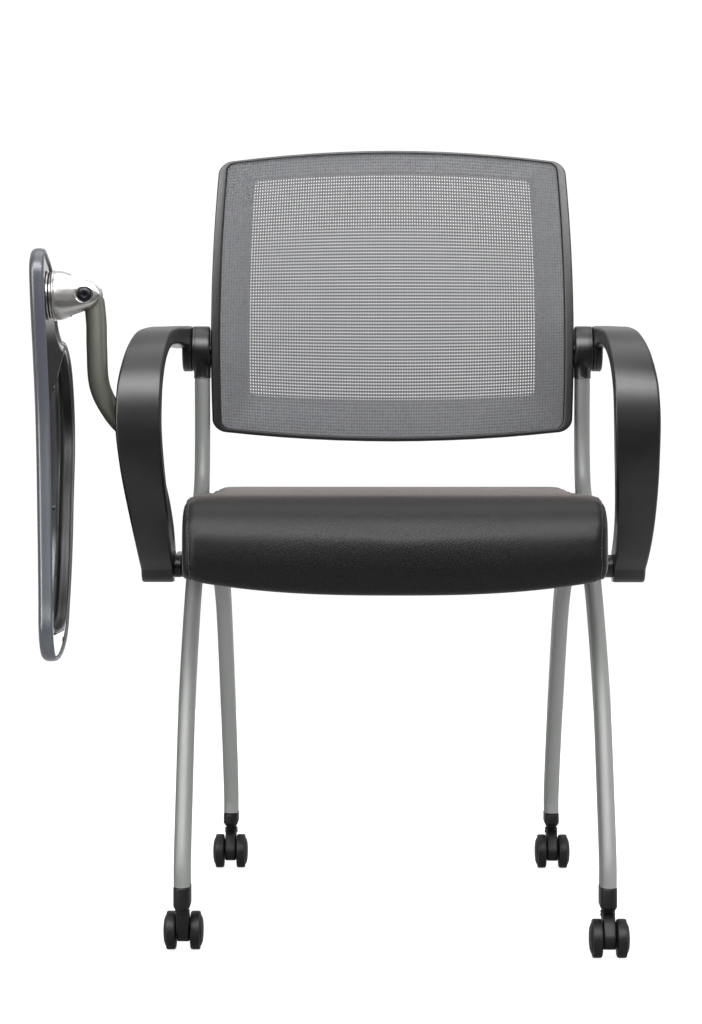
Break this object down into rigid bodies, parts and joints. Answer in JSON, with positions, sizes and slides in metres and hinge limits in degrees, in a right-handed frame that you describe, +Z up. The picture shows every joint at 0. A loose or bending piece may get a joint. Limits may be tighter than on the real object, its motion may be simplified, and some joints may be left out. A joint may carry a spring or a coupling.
{
  "type": "student desk chair",
  "caption": "Nesting training chair with a mesh back, flip-up padded seat, loop arms, twin-wheel casters and a writing tablet that folds away at the right arm.",
  "frame": {"origin": "on the floor, at the middle of the whole chair's bounding box at rest, tablet included", "axes": "+Z up, the sitter faces -Y, -X is the sitter's right, where the tablet hangs; the chair's own plane of symmetry is at X = 51.4 mm"},
  "size_m": [0.6901, 0.5276, 0.8784],
  "materials": {
    "silver_tube": "satin silver powder coat",
    "olive_tube": "satin warm-grey powder coat",
    "black_plastic": "satin charcoal-black moulded plastic",
    "caster_plastic": "black nylon, slightly glossy",
    "black_rubber": "matt black rubber",
    "dark_steel": "black-finished steel",
    "polished_aluminium": "polished casting",
    "back_mesh_fabric": "open grey polyester mesh",
    "seat_fabric": "black twill upholstery",
    "tablet_laminate": "satin blue-grey surface and edge",
    "gloss_black": "high-gloss black moulding"
  },
  "bodies": {
    "frame": {"side_tube_right": "silver_tube", "side_tube_left": "silver_tube", "rear_leg_right": "silver_tube", "rear_leg_left": "silver_tube", "cross_tube": "silver_tube", "hub_housing_right": "black_plastic", "hub_housing_left": "black_plastic", "tilt_bush_right": "black_rubber", "tilt_bush_left": "black_rubber", "arm_right": "black_plastic", "arm_left": "black_plastic", "arm_boss_right": "dark_steel", "arm_boss_left": "dark_steel", "arm_bolt_right": "dark_steel", "arm_bolt_left": "dark_steel", "seat_pivot_bolt_right": "dark_steel", "seat_pivot_bolt_left": "dark_steel", "tablet_tube": "olive_tube", "tablet_tube_lug": "dark_steel", "tablet_knuckle": "polished_aluminium", "caster_front_right_sleeve": "caster_plastic", "caster_front_left_sleeve": "caster_plastic", "caster_rear_right_sleeve": "caster_plastic", "caster_rear_left_sleeve": "caster_plastic"},
    "back": {"back_frame": "black_plastic", "back_mesh": "back_mesh_fabric", "back_pivot_pin_right": "dark_steel", "back_pivot_pin_left": "dark_steel"},
    "seat": {"seat_cushion": "seat_fabric", "seat_pan": "black_plastic", "seat_hinge_plate_right": "dark_steel", "seat_hinge_plate_left": "dark_steel", "seat_stop_pad_right": "black_rubber", "seat_stop_pad_left": "black_rubber"},
    "tablet_arm": {"tablet_bracket": "polished_aluminium", "tablet_pivot_bolt": "dark_steel", "tablet_pivot_nut": "dark_steel"},
    "tablet": {"tablet_top": "tablet_laminate", "tablet_underside": "gloss_black", "tablet_swivel_plate": "polished_aluminium"},
    "caster_front_right": {"caster_front_right_stem": "dark_steel", "caster_front_right_hood": "caster_plastic", "caster_front_right_axle": "dark_steel"},
    "wheel_front_right_a": {"caster_front_right_wheel_a": "caster_plastic"},
    "wheel_front_right_b": {"caster_front_right_wheel_b": "caster_plastic"},
    "caster_front_left": {"caster_front_left_stem": "dark_steel", "caster_front_left_hood": "caster_plastic", "caster_front_left_axle": "dark_steel"},
    "wheel_front_left_a": {"caster_front_left_wheel_a": "caster_plastic"},
    "wheel_front_left_b": {"caster_front_left_wheel_b": "caster_plastic"},
    "caster_rear_right": {"caster_rear_right_stem": "dark_steel", "caster_rear_right_hood": "caster_plastic", "caster_rear_right_axle": "dark_steel"},
    "wheel_rear_right_a": {"caster_rear_right_wheel_a": "caster_plastic"},
    "wheel_rear_right_b": {"caster_rear_right_wheel_b": "caster_plastic"},
    "caster_rear_left": {"caster_rear_left_stem": "dark_steel", "caster_rear_left_hood": "caster_plastic", "caster_rear_left_axle": "dark_steel"},
    "wheel_rear_left_a": {"caster_rear_left_wheel_a": "caster_plastic"},
    "wheel_rear_left_b": {"caster_rear_left_wheel_b": "caster_plastic"}
  },
  "joints": [
    {"name": "seat_flip", "type": "hinge", "parent": "frame", "child": "seat", "pos_m": [0.0514, 0.0844, 0.455], "axis": [1, 0, 0], "range_deg": [-75, 0]},
    {"name": "back_tilt", "type": "hinge", "parent": "frame", "child": "back", "pos_m": [0.0514, 0.1224, 0.639], "axis": [-1, 0, 0], "range_deg": [0, 12], "stiffness_Nm_per_rad": 60},
    {"name": "tablet_flip", "type": "hinge", "parent": "frame", "child": "tablet_arm", "pos_m": [-0.2896, -0.0906, 0.7], "axis": [0, 1, 0], "range_deg": [0, 91.6]},
    {"name": "tablet_swivel", "type": "hinge", "parent": "tablet_arm", "child": "tablet", "pos_m": [-0.2896, -0.0906, 0.7], "axis": [-0.9996, 0, -0.0279], "range_deg": [0, 180]},
    {"name": "caster_front_right_swivel", "type": "hinge", "parent": "frame", "child": "caster_front_right", "pos_m": [-0.1741, -0.2256, 0.04], "axis": [0, 0, 1], "continuous": true},
    {"name": "wheel_front_right_a_spin", "type": "hinge", "parent": "caster_front_right", "child": "wheel_front_right_a", "pos_m": [-0.1741, -0.2076, 0.02015], "axis": [1, 0, 0], "continuous": true},
    {"name": "wheel_front_right_b_spin", "type": "hinge", "parent": "caster_front_right", "child": "wheel_front_right_b", "pos_m": [-0.1741, -0.2076, 0.02015], "axis": [1, 0, 0], "continuous": true},
    {"name": "caster_front_left_swivel", "type": "hinge", "parent": "frame", "child": "caster_front_left", "pos_m": [0.2769, -0.2256, 0.04], "axis": [0, 0, 1], "continuous": true},
    {"name": "wheel_front_left_a_spin", "type": "hinge", "parent": "caster_front_left", "child": "wheel_front_left_a", "pos_m": [0.2769, -0.2436, 0.02015], "axis": [1, 0, 0], "continuous": true},
    {"name": "wheel_front_left_b_spin", "type": "hinge", "parent": "caster_front_left", "child": "wheel_front_left_b", "pos_m": [0.2769, -0.2436, 0.02015], "axis": [1, 0, 0], "continuous": true},
    {"name": "caster_rear_right_swivel", "type": "hinge", "parent": "frame", "child": "caster_rear_right", "pos_m": [-0.1466, 0.2444, 0.04], "axis": [0, 0, 1], "continuous": true},
    {"name": "wheel_rear_right_a_spin", "type": "hinge", "parent": "caster_rear_right", "child": "wheel_rear_right_a", "pos_m": [-0.1466, 0.2264, 0.02015], "axis": [1, 0, 0], "continuous": true},
    {"name": "wheel_rear_right_b_spin", "type": "hinge", "parent": "caster_rear_right", "child": "wheel_rear_right_b", "pos_m": [-0.1466, 0.2264, 0.02015], "axis": [1, 0, 0], "continuous": true},
    {"name": "caster_rear_left_swivel", "type": "hinge", "parent": "frame", "child": "caster_rear_left", "pos_m": [0.2494, 0.2444, 0.04], "axis": [0, 0, 1], "continuous": true},
    {"name": "wheel_rear_left_a_spin", "type": "hinge", "parent": "caster_rear_left", "child": "wheel_rear_left_a", "pos_m": [0.2494, 0.2264, 0.02015], "axis": [1, 0, 0], "continuous": true},
    {"name": "wheel_rear_left_b_spin", "type": "hinge", "parent": "caster_rear_left", "child": "wheel_rear_left_b", "pos_m": [0.2494, 0.2264, 0.02015], "axis": [1, 0, 0], "continuous": true}
  ]
}
